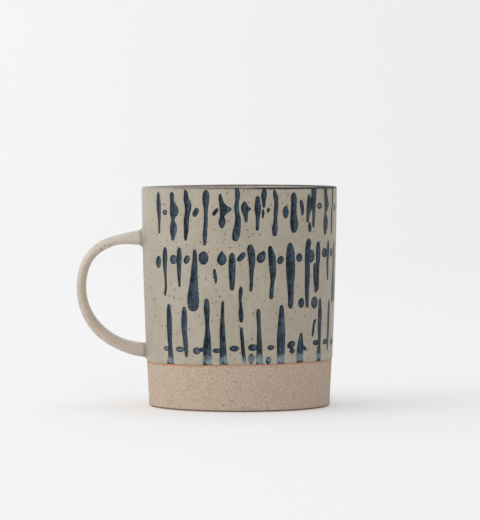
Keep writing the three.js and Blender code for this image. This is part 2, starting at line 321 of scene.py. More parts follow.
class MugStage(bpy.types.PropertyGroup):
    """Camera, light and backdrop."""

    distance: length("Camera distance", "From the cup's axis", 1510)
    camera_height: length("Camera height", "Above the table", 122)
    camera_side: length("Camera side step", "To the right of the cup's axis", 0.3)
    pitch: bpy.props.FloatProperty(
        name="Pitch", description="How far the camera looks down", default=0.03796,
        unit="ROTATION", subtype="ANGLE",
    )
    lens: bpy.props.FloatProperty(name="Lens", description="Focal length in millimetres", default=235.1)
    paper: colour("Backdrop", "Pale paper sweep", 0.795, 0.795, 0.8)


# ---------------------------------------------------------------------------
# The wall's shape
# ---------------------------------------------------------------------------
LIP_POWER = 2.6  # exponent of the lip's superellipse: 2 would be an ellipse
LINE_RIPPLES = ((0.12, 3, 1), (0.07, 8, 2))  # height, waves round the cup and phase of each
SAG, SAG_OVAL, SAG_TILT = 0.5, 0.12, 0.13  # of the lip: all round, more at the sides, more at the handle
SAG_START = 60  # height above which it is felt


class Wall:
    """Profile of the mug in millimetres, from the user's sizes."""

    def __init__(self, shape):
        for key in shape.__annotations__:
            setattr(self, key, getattr(shape, key) / MM)
        self.shoulder = self.height - self.lip_rise
        self.corner_z = self.floor + self.inside_corner
        self.corner_r = self.inner_curve(self.corner_z) - self.inside_corner

    def curve(self, z):
        """Radius on the wall's curve: a quadratic Bezier from foot through belly to rim, whose
        parameter is the root of its own height equation."""
        a = self.foot_bevel - 2 * self.belly_height + self.height
        b = 2 * (self.belly_height - self.foot_bevel)
        t = (-b + np.sqrt(b * b - 4 * a * (self.foot_bevel - z))) / (2 * a)
        t = np.clip(t, 0, 1)
        pull = 2 * t * (1 - t) * self.belly_radius
        return (1 - t) ** 2 * self.foot_radius + pull + t**2 * self.rim_radius

    def inner_curve(self, z):
        """The outside less a wall that thins evenly towards the lip."""
        share = (z - self.floor) / (self.height - self.floor)
        return self.curve(z) - self.floor_thickness - share * (self.lip_thickness - self.floor_thickness)

    def outside(self, z):
        """The wall's curve, and above the shoulder the outer quarter of the lip's rounded top, a
        superellipse."""
        middle = (self.curve(self.shoulder) + self.inner_curve(self.shoulder)) / 2
        rise = np.clip((z - self.shoulder) / self.lip_rise, 0, 1)
        lip = middle + (self.curve(self.shoulder) - middle) * (1 - rise**LIP_POWER) ** (1 / LIP_POWER)
        return np.where(z > self.shoulder, lip, self.curve(z))

    def line(self, degrees):
        """Height of the glaze line: level, tilted by the dipping hand, with two small ripples."""
        angle = np.radians(degrees)
        ripples = sum(size * np.sin(waves * angle + phase) for size, waves, phase in LINE_RIPPLES)
        return self.glaze_line + self.line_tilt * np.sin(angle) + ripples


def round_the_wall(radius, degrees, z):
    """Points at a radius, an angle round the wall and a height. Angle 0 faces -Y. The lip of the fired
    cup isn't quite level: it lies half a millimetre low, a little more towards the handle and at the
    sides, and the sag dies out quadratically downwards."""
    angle = np.radians(degrees)
    radius, angle, z = np.broadcast_arrays(radius, angle, z)
    sag = SAG - SAG_OVAL * np.cos(2 * angle) - SAG_TILT * np.sin(angle)
    felt = np.clip(z - SAG_START, 0, None) / (LIP_HIGH[2] / MM - SAG_START)
    return np.stack([radius * np.sin(angle), -radius * np.cos(angle), z - sag * felt**2], axis=-1)


# ---------------------------------------------------------------------------
# Meshes from grids
# ---------------------------------------------------------------------------
def grid_quads(rows, columns, loop_rows, loop_columns):
    """Corner numbers of every quad of a grid, counted row by row. A looping direction joins its last
    line to its first. Rows that go up with columns that go right give faces towards the viewer."""
    index = np.arange(rows * columns).reshape(rows, columns)
    if loop_rows:
        index = np.vstack([index, index[:1]])
    if loop_columns:
        index = np.hstack([index, index[:, :1]])
    corners = [index[:-1, :-1], index[:-1, 1:], index[1:, 1:], index[1:, :-1]]
    return np.stack(corners, axis=-1).reshape(-1, 4)


def make_mesh(name, points, quads, triangles=None, attributes=None):
    """A Blender object from points in millimetres and arrays of corner numbers."""
    triangles = np.empty((0, 3), int) if triangles is None else triangles
    mesh = bpy.data.meshes.new(name)
    corners = np.concatenate([quads.ravel(), triangles.ravel()])
    sizes = np.concatenate([np.full(len(quads), 4), np.full(len(triangles), 3)])
    mesh.vertices.add(len(points))
    mesh.vertices.foreach_set("co", (points * MM).astype(np.float32).ravel())
    mesh.loops.add(len(corners))
    mesh.loops.foreach_set("vertex_index", corners.astype(np.int32))
    mesh.polygons.add(len(sizes))
    mesh.polygons.foreach_set("loop_start", (np.cumsum(sizes) - sizes).astype(np.int32))
    mesh.update(calc_edges=True)
    mesh.validate()
    mesh.polygons.foreach_set("use_smooth", np.ones(len(sizes), bool))
    for key, values in (attributes or {}).items():
        layer = mesh.attributes.new(key, "FLOAT", "POINT")
        layer.data.foreach_set("value", values.astype(np.float32).ravel())
    piece = bpy.data.objects.new(name, mesh)
    bpy.context.scene.collection.objects.link(piece)
    return piece


def turned_mesh(name, points, attributes, poles=True):
    """A surface of revolution from a grid of points whose rows run up the outside. With poles, the
    first and last rows close on their own middles with fans; without, the last row joins the first."""
    rows, columns = points.shape[:2]
    flat = points.reshape(-1, 3)
    quads = grid_quads(rows, columns, not poles, True)
    if not poles:
        return make_mesh(name, flat, quads, attributes=attributes)
    ring = np.arange(columns)
    following = np.roll(ring, -1)
    last_row = (rows - 1) * columns
    first_middle, last_middle = np.full((2, columns), [[len(flat)], [len(flat) + 1]])
    first = np.stack([first_middle, following, ring], axis=-1)
    last = np.stack([last_middle, last_row + ring, last_row + following], axis=-1)
    flat = np.vstack([flat, points[0].mean(axis=0), points[-1].mean(axis=0)])
    closed = {key: np.append(values, [values[0].mean(), values[-1].mean()])
              for key, values in attributes.items()}
    return make_mesh(name, flat, quads, np.vstack([first, last]), closed)


def full_turn(columns):
    """Angles of evenly spaced columns, as a row to broadcast against a column of heights."""
    return np.linspace(-180, 180, columns, endpoint=False)[None, :]


def squared_off(wave, power):
    """A cosine or sine made a superellipse's: its sign, times its size to the power of 2 / power."""
    return np.sign(wave) * np.abs(wave) ** (2 / power)


RIPPLES = ((1, 0.03), (2, 0.05), (3, -0.04), (5, 0.09), (4, 0.2))  # waves round, radians per millimetre up


def ripple(degrees, z, size, rng):
    """Slow unevenness of a hand-made wall: a few sines round and up, with seeded phases."""
    angle = np.radians(degrees)
    total = 0
    for around, climb in RIPPLES:
        total = total + np.sin(around * angle + climb * z + rng.uniform(0, 2 * np.pi)) / around
    return size * total


# ---------------------------------------------------------------------------
# Outlines of the marks
# ---------------------------------------------------------------------------
OUTLINE_STEPS = 30
NEARBY = 1  # a mark's distance is worked out this far round it
NO_MARK = 9.0  # distance given to the wall beyond that


def smooth_through(values, t):
    """A Catmull-Rom curve through values set at the middles of equal steps of 0 to 1, level past the
    ends."""
    padded = np.pad(np.asarray(values, float), 2, mode="edge")
    place = t * len(values) + 1.5
    step = np.clip(np.floor(place).astype(int), 1, len(padded) - 3)
    part = place - step
    before, here, after, beyond = (padded[step + shift] for shift in (-1, 0, 1, 2))
    return 0.5 * (
        2 * here + (after - before) * part
        + (2 * before - 5 * here + 4 * after - beyond) * part**2
        + (3 * here - before - 3 * after + beyond) * part**3
    )


def mark_edges(mark, t, margin=0.0):
    """Left and right edges and heights of a mark at shares t of its length from the top. Near both
    ends the width falls off as a quarter circle does. A margin grows the mark all round."""
    grown = mark["top"] - mark["bottom"] + 2 * margin
    upper = np.clip(t * grown / (mark["ends"][0] + margin), 0, 1)
    lower = np.clip((1 - t) * grown / (mark["ends"][1] + margin), 0, 1)
    rounding = np.sqrt(upper * (2 - upper)) * np.sqrt(lower * (2 - lower))
    half = (smooth_through(mark["widths"], t) / 2 + margin) * rounding
    centre = mark["angle"] * MILLIMETRES_PER_DEGREE + smooth_through(mark["sway"], t)
    return centre - half, centre + half, mark["top"] + margin - t * grown


def crowded_ends(count):
    """Shares from 0 to 1 that lie closer together towards both ends, as a turning radius does."""
    return (1 - np.cos(np.linspace(0, np.pi, count))) / 2


def signed_distance(mark, across, up):
    """Distance from points on the unrolled wall to a mark's outline, negative inside. It is the
    smallest distance to any straight piece of the outline, and a point is inside where it lies
    between the left and right edges at its own height."""
    left, right, z = mark_edges(mark, crowded_ends(OUTLINE_STEPS))
    outline = np.concatenate([np.stack([left, z], -1), np.stack([right, z], -1)[::-1]])
    span = np.roll(outline, -1, axis=0) - outline
    reach = np.maximum((span**2).sum(-1), 1e-9)
    to_point = np.stack([across, up], -1)[:, None, :] - outline[None]
    share = np.clip((to_point * span).sum(-1) / reach, 0, 1)
    distance = np.sqrt(((to_point - share[..., None] * span) ** 2).sum(-1)).min(axis=1)
    inside = (up < z[0]) & (up > z[-1])
    inside &= across > np.interp(up, z[::-1], left[::-1])
    inside &= across < np.interp(up, z[::-1], right[::-1])
    return np.where(inside, -distance, distance)


def distance_to_marks(marks, across, up):
    """The smallest signed distance from each point of a grid to any mark near it."""
    nearest = np.full(across.shape, NO_MARK)
    for mark in marks:
        half = max(mark["widths"]) / 2 + max(abs(shift) for shift in mark["sway"]) + NEARBY
        near = np.abs(across - mark["angle"] * MILLIMETRES_PER_DEGREE) < half
        near &= (up < mark["top"] + NEARBY) & (up > mark["bottom"] - NEARBY)
        nearest[near] = np.minimum(nearest[near], signed_distance(mark, across[near], up[near]))
    return nearest


# ---------------------------------------------------------------------------
# Coats of glaze and the clay cup
# ---------------------------------------------------------------------------
SURFACE_ROWS, SURFACE_COLUMNS = 142, 620  # of the carved wall
ROW_CROWDING = 1.03  # the rows lie a little closer together towards the line
PLAIN_START, PLAIN_END, PLAIN_COLUMNS = -120, -61, 20  # the undecorated wall round the handle, in degrees
COAT_TOP = 0.2  # the outer coat ends this far below the top of the lip
COAT_DEPTH = 1.0  # its hidden back lies this far behind its face, below the deepest carving
HIDDEN = 1.15  # the clay behind a coat lies this deep
BURIED = 0.5  # the clay behind the liner lies this deep
LINER_DEPTH = 0.4  # and the liner's own back this deep
POLE = 1.0  # radius of the last ring round a surface's middle
COAT_RIPPLE, CLAY_RIPPLE, LIP_RIPPLE = 0.035, 0.03, 0.02  # slow unevenness of each surface
CLAY_GRAIN = 0.018  # fine unevenness of the bare clay
BAND_SWELL = 1.2  # height over which the bare band swells out to meet the foot's bevel
DIVE_START, DIVE_HEIGHT = 0.15, 0.4  # above the line the clay goes in behind the coat over this height

EDGE_HEIGHT, EDGE_DEPTH = 0.35, 0.35  # the coat's lower edge is rounded over this height and depth
EDGE_FULLNESS = 0.98  # the rounding stops just short of a whole quarter circle, whose end is upright
ROLL, ROLL_HEIGHT, ROLL_SPREAD = 0.11, 1.5, 1.3  # the soft roll where the glaze ran and stopped
CUT_OUTSIDE, CUT_SLOPE = 0.14, 0.75  # the cut begins this far outside a mark's edge and slopes this wide

DARK_CREST_START, DARK_CREST_END = 4, 150  # angles between which the lip's crest is darkened with the dark indigo colour
DARK_CREST_FADE = 9  # and over how many degrees it fades out at both ends


def wall_columns():
    """Angles of the wall's columns: coarse round the handle and fine where it is carved."""
    plain = np.linspace(PLAIN_START, PLAIN_END, PLAIN_COLUMNS, endpoint=False)
    carved = np.linspace(PLAIN_END, PLAIN_START + 360, SURFACE_COLUMNS, endpoint=False)
    return np.concatenate([plain, carved])


def coat_swelling(above):
    """How far the glaze stands off the wall's curve at a height above the line: a quarter circle that
    rounds its lower edge, and a soft roll, a bell curve, a little higher."""
    edge = np.clip(1 - above / EDGE_HEIGHT, 0, 1)
    roll = ROLL * np.exp(-(((above - ROLL_HEIGHT) / ROLL_SPREAD) ** 2))
    return roll - EDGE_DEPTH * (1 - np.sqrt(1 - EDGE_FULLNESS * edge**2))


def carving(wall, distance):
    """Depth of the tool's cut: a straight slope from just outside a mark's edge down to a flat bottom."""
    return wall.carve_depth * np.clip((CUT_OUTSIDE - distance) / CUT_SLOPE, 0, 1)


def dark_crest_band(degrees):
    """Strength of the darkening along the lip's crest: full between two angles and fading past them."""
    begins = np.clip((degrees - DARK_CREST_START) / DARK_CREST_FADE, 0, 1)
    return begins * np.clip((DARK_CREST_END - degrees) / DARK_CREST_FADE, 0, 1)


def outer_coat(wall, marks):
    """The dipped coat as one closed skin: its face climbs from the glaze line over the shoulder of the
    lip, and its plain back comes down again behind it. The face is the wall's curve plus the swelling
    at the line, less the carving."""
    degrees = wall_columns()[None, :]
    line = wall.line(degrees)
    share = np.linspace(0, 1, SURFACE_ROWS)[:, None] ** ROW_CROWDING
    z = line + share * (wall.height - COAT_TOP - line)
    distance = distance_to_marks(marks, degrees * MILLIMETRES_PER_DEGREE + 0 * z, z)
    unevenness = ripple(degrees, z, COAT_RIPPLE, np.random.default_rng(3))
    face = wall.outside(z) + coat_swelling(z - line) + unevenness - carving(wall, distance)
    top, foot = z[-1], line[0]
    back_z = np.vstack([top - 0.25, top - 1.6, (top + foot) / 2, foot + 0.3])
    radius = np.vstack([face, wall.outside(back_z) - COAT_DEPTH])
    heights = np.vstack([z, back_z])
    attributes = {
        "above_line": heights - line,
        "below_lip": wall.height - heights,
        "dark_crest_band": dark_crest_band(degrees) + 0 * heights,
    }
    points = round_the_wall(radius, degrees, heights)
    return turned_mesh("dipped_outer_glaze", points, attributes, poles=False)


def clay_profile(wall):
    """Radius and height down the clay cup's section, from the middle of the foot up the outside, over
    the buried lip and down inside to the middle of the floor. The worn bevel and the inside corner are
    quarter turns. The bare band is the wall's curve less the coat, and swells out to the full curve
    towards the bevel."""
    foot = np.linspace(POLE, wall.foot_flat, 60)
    bevel = np.radians(np.linspace(0, 90, 8)[1:])
    bevel_r = wall.foot_flat + (wall.foot_radius - wall.foot_flat) * np.sin(bevel)
    bevel_z = wall.foot_bevel * (1 - np.cos(bevel))
    band_z = np.linspace(wall.foot_bevel, wall.glaze_line + 2.5, 90)[1:]
    band_r = wall.curve(band_z) - wall.coat
    band_r += wall.coat * np.exp(-((band_z - wall.foot_bevel) / BAND_SWELL))
    side_z = np.linspace(wall.glaze_line + 3, wall.shoulder - 1, 12)
    side_r = wall.curve(side_z) - HIDDEN
    inner_z = np.linspace(wall.shoulder - 1, wall.corner_z, 12)
    inner_r = wall.inner_curve(inner_z) + BURIED
    turn = np.radians(np.linspace(0, 90, 10)[1:])
    corner = wall.inside_corner + BURIED
    corner_r = wall.corner_r + corner * np.cos(turn)
    corner_z = wall.corner_z - corner * np.sin(turn)
    radius = np.concatenate([foot, bevel_r, band_r, side_r, inner_r, corner_r, [POLE]])
    height = np.concatenate([0 * foot, bevel_z, band_z, side_z, inner_z, corner_z, [wall.floor - BURIED]])
    return radius[:, None], height[:, None]


WIRE_PULL = (62, -35)  # place beside the cup about which the wire swept under its foot
WIRE_DEPTH, WIRE_RIPPLES, WIRE_BEATS = 0.05, 1.9, 0.31  # depth of its arcs, and their radians per millimetre


def clay_cup(wall):
    """The thrown cup as a surface of revolution, with the wire's shallow arcs across its foot and a
    fine uneven grain on its bare band. Above the glaze line the clay dives behind the coat."""
    degrees = full_turn(500)
    radius, height = clay_profile(wall)
    rng = np.random.default_rng(5)
    bare = (height > wall.foot_bevel / 3) & (height < wall.glaze_line + 3) & (radius > wall.foot_flat)
    grain = rng.normal(0, CLAY_GRAIN, (len(radius), degrees.size))
    grain = grain + ripple(degrees, height, CLAY_RIPPLE, rng)
    above = height - wall.line(degrees)
    dive = (HIDDEN - wall.coat) * np.clip((above - DIVE_START) / DIVE_HEIGHT, 0, 1)
    points = round_the_wall(radius + bare * (grain - dive), degrees, height)
    under = (height < 1e-6) & (radius < wall.foot_flat - 0.3)
    from_pull = np.hypot(points[..., 0] - WIRE_PULL[0], points[..., 1] - WIRE_PULL[1])
    arcs = np.sin(from_pull * WIRE_RIPPLES) * (0.6 + 0.4 * np.sin(from_pull * WIRE_BEATS))
    points[..., 2] += under * WIRE_DEPTH * (1 + arcs)
    return turned_mesh("thrown_clay_cup", points, {"below_line": wall.line(degrees) - points[..., 2]})


def lip_coat(wall):
    """The crown of the lip: the upper half of a superellipse over the wall's end, closed underneath by
    the same curve drawn inwards."""
    degrees = full_turn(480)
    outer, inner = wall.curve(wall.shoulder), wall.inner_curve(wall.shoulder)
    middle, half = (outer + inner) / 2, (outer - inner) / 2
    over = np.radians(np.linspace(38, 185, 44))[:, None]
    under = np.radians(np.linspace(175, 30, 12))[:, None]
    turn = np.vstack([over, under]) + 0 * degrees
    inset = np.vstack([0 * over + 0.02, 0 * under + 0.45])
    radius = middle + (half - inset) * squared_off(np.cos(turn), LIP_POWER)
    z = wall.shoulder + (wall.lip_rise - inset) * squared_off(np.sin(turn), LIP_POWER)
    points = round_the_wall(radius + ripple(degrees, z, LIP_RIPPLE, np.random.default_rng(3)), degrees, z)
    attributes = {"turn": np.degrees(turn), "dark_crest_band": dark_crest_band(degrees) + 0 * turn}
    return turned_mesh("lip_glaze_ring", points, attributes, poles=False)


SPIRAL_DEPTH, SPIRAL_CLIMB = 0.05, 0.42  # of the throwing spiral, in millimetres and radians per row


def liner_coat(wall):
    """The poured liner: a cup-shaped skin. Its face goes down inside the wall, round a quarter circle
    and across the floor with a slow throwing spiral pressed into it, and its coarser back returns
    behind it."""
    degrees = full_turn(360)
    side_z = np.linspace(wall.shoulder + 0.1, wall.corner_z, 90)
    side_r = wall.inner_curve(side_z)
    turn = np.radians(np.linspace(0, 90, 24)[1:])
    corner_r = wall.corner_r + wall.inside_corner * np.cos(turn)
    corner_z = wall.floor + wall.inside_corner * (1 - np.sin(turn))
    floor_r = np.linspace(wall.corner_r, POLE, 40)[1:]
    face_r = np.concatenate([side_r, corner_r, floor_r])[:, None]
    face_z = np.concatenate([side_z, corner_z, 0 * floor_r + wall.floor])[:, None]
    lean = np.concatenate([0 * side_r, turn, 0 * floor_r + np.pi / 2])[:, None]
    walk = np.arange(len(face_r))[:, None]
    spiral = SPIRAL_DEPTH * np.sin(SPIRAL_CLIMB * walk + np.radians(degrees))
    face = round_the_wall(face_r - spiral * np.cos(lean), degrees, face_z + spiral * np.sin(lean))
    back_turn, back_side = turn[::-6], side_z[::-12]
    back_corner = wall.inside_corner + LINER_DEPTH
    back_r = np.concatenate([[POLE, wall.corner_r], wall.corner_r + back_corner * np.cos(back_turn),
                             wall.inner_curve(back_side) + LINER_DEPTH])[:, None]
    back_z = np.concatenate([[wall.floor - LINER_DEPTH] * 2, wall.corner_z - back_corner * np.sin(back_turn),
                             back_side])[:, None]
    points = np.vstack([round_the_wall(back_r, degrees, back_z), face])
    return turned_mesh("poured_liner_glaze", points, {"depth": wall.height - points[..., 2]})


# ---------------------------------------------------------------------------
# The handle
# ---------------------------------------------------------------------------
HANDLE_MIDDLE = 52.2  # height at which the handle stands furthest from the cup
UPPER_ROOT = ((40, 74.9), (46, 74.0))  # distance from the axis and height of its curve's first two points
LOWER_ROOT = ((58, 25.1), (40, 24.45))  # and of its last two
UPPER_PULL, LOWER_PULL = 77.4, 37.4  # heights that its curves lean towards at the furthest reach
HANDLE_THICKNESS = (6.3, 4.3, 4.35, 4.1, 3.95, 4.15, 4.6, 4.95, 5.1, 6.0)  # at equal steps of its length
ROOT_WIDENING = 1.3  # how much wider each half of the strap is at its roots
BACK_POWER, INNER_POWER = 2.4, 3.6  # exponents of the strap's section on its back and its inner face
RIDGE_SHIFT = 0.25  # the ridge along each side lies nearer to the strap's inner face by this share
FINGER_LINES, FINGER_DEPTH, FINGER_TWIST = 15, 0.025, 1.5  # count, depth as a share, turn in radians
FINGER_FADE = 0.15  # share of the handle's length over which they fade at each root
LOWER_FILLET = 0.45  # the fillet is smaller by this share at the lower root


def handle_line(wall, share):
    """The handle's middle line and its direction at shares of its length: two cubic Beziers that meet
    upright at the furthest point, walked at even speed. Distances are from the cup's axis."""
    reach = wall.handle_reach
    upper = np.array([*UPPER_ROOT, (reach, UPPER_PULL), (reach, HANDLE_MIDDLE)])
    lower = np.array([(reach, HANDLE_MIDDLE), (reach, LOWER_PULL), *LOWER_ROOT])
    t = np.linspace(0, 1, 400)[:, None]
    weights = np.hstack([(1 - t) ** 3, 3 * t * (1 - t) ** 2, 3 * t**2 * (1 - t), t**3])
    path = np.vstack([weights @ upper, (weights @ lower)[1:]])
    walked = np.concatenate([[0], np.cumsum(np.hypot(*np.diff(path, axis=0).T))])
    walked /= walked[-1]
    nudge = 0.002

    def place(where):
        return np.stack([np.interp(where, walked, path[:, 0]), np.interp(where, walked, path[:, 1])], -1)

    ahead = place(share + nudge) - place(share - nudge)
    return place(share), ahead / np.linalg.norm(ahead, axis=-1, keepdims=True)


def strap(name, wall, start, end, inset, rows, columns):
    """A pulled strap between two shares of the handle's length. Its section is a superellipse that is
    full on its back and flatter on its inner face, and a soft ridge runs along each side where the two
    meet, with shallow finger lines along it. Within a fillet's radius of the wall the section swells
    as a quarter circle does. An inset makes the clay core that lies under the coat."""
    share = start + (end - start) * crowded_ends(rows)
    middle, ahead = handle_line(wall, share)
    share = share[:, None]
    angle = np.linspace(0, 2 * np.pi, columns, endpoint=False)[None, :]
    power = np.where(np.cos(angle) < 0, INNER_POWER, BACK_POWER)
    thin, wide = squared_off(np.cos(angle), power), squared_off(np.sin(angle), power)
    thickness = smooth_through(HANDLE_THICKNESS, share) / 2 - inset
    width = wall.handle_width / 2 + ROOT_WIDENING * (2 * share - 1) ** 2 - inset
    off_roots = np.clip(np.minimum(share, 1 - share) / FINGER_FADE, 0, 1)
    fingers = FINGER_DEPTH * off_roots * np.cos(FINGER_LINES * angle + FINGER_TWIST * share)
    thin = thin * (1 + RIDGE_SHIFT * np.sign(thin)) * (1 + fingers) - RIDGE_SHIFT
    # Towards the wall the tangent points back to the axis, so the outer side is the left of the path.
    out_x, out_z = ahead[:, 1:], -ahead[:, :1]
    reach = middle[:, :1] - thin * thickness * out_x
    height = middle[:, 1:] - thin * thickness * out_z
    side = wide * width
    gap = np.hypot(reach, side) - wall.curve(height)
    fillet = wall.fillet * (1 - LOWER_FILLET * share)
    near = np.clip(gap / fillet, 0, 1)
    swell = fillet * (1 - np.sqrt(1 - (1 - near) ** 2))
    normal_thin, normal_wide = thin / thickness, wide / width
    size = np.hypot(normal_thin, normal_wide)
    reach = reach - swell * normal_thin / size * out_x
    height = height - swell * normal_thin / size * out_z
    side = side + swell * normal_wide / size
    # The swelling slides along the round wall: it must end as near to the wall as it began.
    reach = reach - (np.hypot(reach, side) - wall.curve(height) - gap)
    attributes = {
        "wall_gap": np.maximum(gap, -1),
        "ridge": np.abs(np.sin(angle)) + 0 * gap,
        "back": np.cos(angle) + 0 * gap,
    }
    return turned_mesh(name, np.stack([-reach, side, height], -1), attributes)


# ---------------------------------------------------------------------------
# The indigo in the marks
# ---------------------------------------------------------------------------
PAD_COLUMNS, PAD_ROWS, PAD_MARGIN = 15, 41, 0.16  # grid of one pad, and how far it reaches past its mark
PAD_THICKNESS = 0.2
LEAST_HALF_WIDTH = 0.04  # of a pad at its two ends
ABOVE_LINE, BELOW_LIP = 0.22, 0.45  # no pad comes nearer to the glaze line and to the top of the lip
POOL_DEPTH, POOL_REACH = 0.2, 0.6  # how far the glaze sags in the middle, and how far in that takes
DIVE_SLOPE = 2.2  # how steeply a pad's rim goes down outside its mark
DOT_SINK, ORDER_SINK = 0.012, 0.0004  # pads that meet lie at their own depths, so they never share a face


def filled_marks(name, wall, marks):
    """The indigo inlays of one row as one mesh of closed pads. Each pad is a grid from edge to edge and
    end to end of its mark. It lies at the fill level along the edges and sags towards the middle as
    glaze does when it pools; just outside its edge it dives under the slope of the cut."""
    rng = np.random.default_rng(11)
    across_share = np.sin(np.linspace(-np.pi / 2, np.pi / 2, PAD_COLUMNS))[None, :]
    t = crowded_ends(PAD_ROWS)[::-1]
    pads, values = [], {key: [] for key in ("across", "inside", "above_line", "tone", "hollow")}
    for order, mark in enumerate(marks):
        left, right, z = (edge[:, None] for edge in mark_edges(mark, t, PAD_MARGIN))
        half = np.maximum((right - left) / 2, LEAST_HALF_WIDTH)
        across = (left + right) / 2 + half * across_share
        degrees = across / MILLIMETRES_PER_DEGREE
        line = wall.line(degrees)
        z = np.clip(z, line + ABOVE_LINE, wall.height - BELOW_LIP)
        depth_in = -signed_distance(mark, across.ravel(), z.ravel()).reshape(across.shape)
        pooled = POOL_DEPTH * (1 - np.exp(-np.maximum(depth_in, 0) / POOL_REACH))
        dive = DIVE_SLOPE * np.maximum(-depth_in, 0)
        sink = wall.fill_level + pooled + dive + (DOT_SINK if mark["hollow"] else 0) + ORDER_SINK * order
        radius = wall.outside(z) + coat_swelling(z - line) - sink
        pads.append(round_the_wall(radius, degrees, z))
        values["across"].append(across_share + 0 * z)
        values["inside"].append(depth_in)
        values["above_line"].append(z - line)
        values["tone"].append(np.full(z.shape, rng.uniform()))
        values["hollow"].append(np.full(z.shape, mark["hollow"]))
    one = grid_quads(PAD_ROWS, PAD_COLUMNS, False, False)
    first_corners = np.arange(len(marks))[:, None, None] * PAD_ROWS * PAD_COLUMNS
    attributes = {key: np.stack(value) for key, value in values.items()}
    points = np.stack(pads).reshape(-1, 3)
    piece = make_mesh(name, points, (one + first_corners).reshape(-1, 4), attributes=attributes)
    shell = piece.modifiers.new("pad thickness", "SOLIDIFY")
    shell.thickness = PAD_THICKNESS * MM
    shell.offset = -1
    return piece


# ---------------------------------------------------------------------------
# Material helpers. Noise and speckle scales are counted per metre
# ---------------------------------------------------------------------------
NOISE_LOW, NOISE_HIGH = 0.3, 0.7  # nearly all of a noise's values lie between these
SATIN, SMOOTH, MATT, INKY = 0.45, 0.5, 0.2, 0.16  # specular levels of the coats, the liner, clay and indigo


def add_node(tree, kind, inputs=None, **settings):
    """A node with its settings, each input either linked from a socket or set to a value."""
    node = tree.nodes.new(kind)
    for key, value in settings.items():
        setattr(node, key, value)
    for key, value in (inputs or {}).items():
        if isinstance(value, bpy.types.NodeSocket):
            tree.links.new(value, node.inputs[key])
        else:
            node.inputs[key].default_value = value
    return node


def maths(tree, operation, first, second=0.0, clamp=False):
    inputs = {0: first, 1: second}
    return add_node(tree, "ShaderNodeMath", inputs, operation=operation, use_clamp=clamp).outputs[0]


def times(tree, first, second):
    """The product of two values, either of them a socket or a number."""
    return maths(tree, "MULTIPLY", first, second)


def added(tree, total, *terms):
    """The terms added up one after another."""
    for term in terms:
        total = maths(tree, "ADD", total, term)
    return total


def mixed(tree, share, first, second, kind="MIX"):
    """Two colours mixed by a share of 0 to 1."""
    inputs = {0: share, 6: first, 7: second}
    return add_node(tree, "ShaderNodeMix", inputs, data_type="RGBA", blend_type=kind).outputs[2]


def stained(tree, base, mask, strength, stain):
    """A colour laid over a base through a mask, at a strength."""
    return mixed(tree, times(tree, mask, strength), base, stain)


def between(tree, value, low, high, to_low=0.0, to_high=1.0):
    """A value carried smoothly from one range to another and held at both ends."""
    inputs = {"Value": value, "From Min": low, "From Max": high, "To Min": to_low, "To Max": to_high}
    return add_node(tree, "ShaderNodeMapRange", inputs, interpolation_type="SMOOTHSTEP").outputs[0]


def spread(tree, value, to_low, to_high):
    """A noise's usual range carried to another."""
    return between(tree, value, NOISE_LOW, NOISE_HIGH, to_low, to_high)


def noise(tree, vector, scale, detail=2.0, roughness=0.5):
    inputs = {"Vector": vector, "Scale": scale, "Detail": detail, "Roughness": roughness}
    return add_node(tree, "ShaderNodeTexNoise", inputs).outputs["Fac"]


def attribute(tree, name):
    return add_node(tree, "ShaderNodeAttribute", attribute_name=name).outputs["Fac"]


def part_of(tree, vector, axis):
    """One coordinate of a vector, in metres where that is the place on the piece."""
    return add_node(tree, "ShaderNodeSeparateXYZ", {0: vector}).outputs[axis]


def new_group(name, inputs, output_names):
    """A node group of value outputs, whose inputs have defaults, or none for a vector. Returns the group
    and the sockets inside it: those that bring the inputs and those that take the outputs."""
    group = bpy.data.node_groups.new(name, "ShaderNodeTree")
    for socket, default in inputs.items():
        kind = "NodeSocketVector" if default is None else "NodeSocketFloat"
        made = group.interface.new_socket(name=socket, in_out="INPUT", socket_type=kind)
        if default is not None:
            made.default_value = default
    for socket in output_names:
        group.interface.new_socket(name=socket, in_out="OUTPUT", socket_type="NodeSocketFloat")
    return group, group.nodes.new("NodeGroupInput").outputs, group.nodes.new("NodeGroupOutput").inputs


def use_group(tree, name, **inputs):
    """Puts a node group into a material with its own values, and returns its outputs."""
    return add_node(tree, "ShaderNodeGroup", inputs, node_tree=bpy.data.node_groups[name]).outputs


def speckle_group():
    """Iron speckles: round spots where the surface passes near scattered points in space. Size is the
    largest spot against the spacing of the points; each spot has its own strength."""
    group, given, result = new_group(
        "Iron speckles", {"Vector": None, "Scale": 300.0, "Size": 0.12, "Share": 0.5}, ["Mask"])
    wobble = add_node(group, "ShaderNodeTexNoise", {"Vector": given["Vector"], "Scale": 1800.0})
    inputs = {0: wobble.outputs["Color"], "Scale": 0.5 * MM}
    offset = add_node(group, "ShaderNodeVectorMath", inputs, operation="SCALE")
    inputs = {0: given["Vector"], 1: offset.outputs[0]}
    place = add_node(group, "ShaderNodeVectorMath", inputs, operation="ADD")
    cells = add_node(group, "ShaderNodeTexVoronoi", {"Vector": place.outputs[0], "Scale": given["Scale"]})
    spot = between(group, cells.outputs["Distance"], given["Size"], times(group, given["Size"], 0.6))
    parts = add_node(group, "ShaderNodeSeparateColor", {"Color": cells.outputs["Color"]})
    rare = maths(group, "GREATER_THAN", given["Share"], parts.outputs[0])
    strength = times(group, rare, between(group, parts.outputs[1], 0.0, 1.0, 0.4, 1.0))
    group.links.new(times(group, spot, strength), result["Mask"])


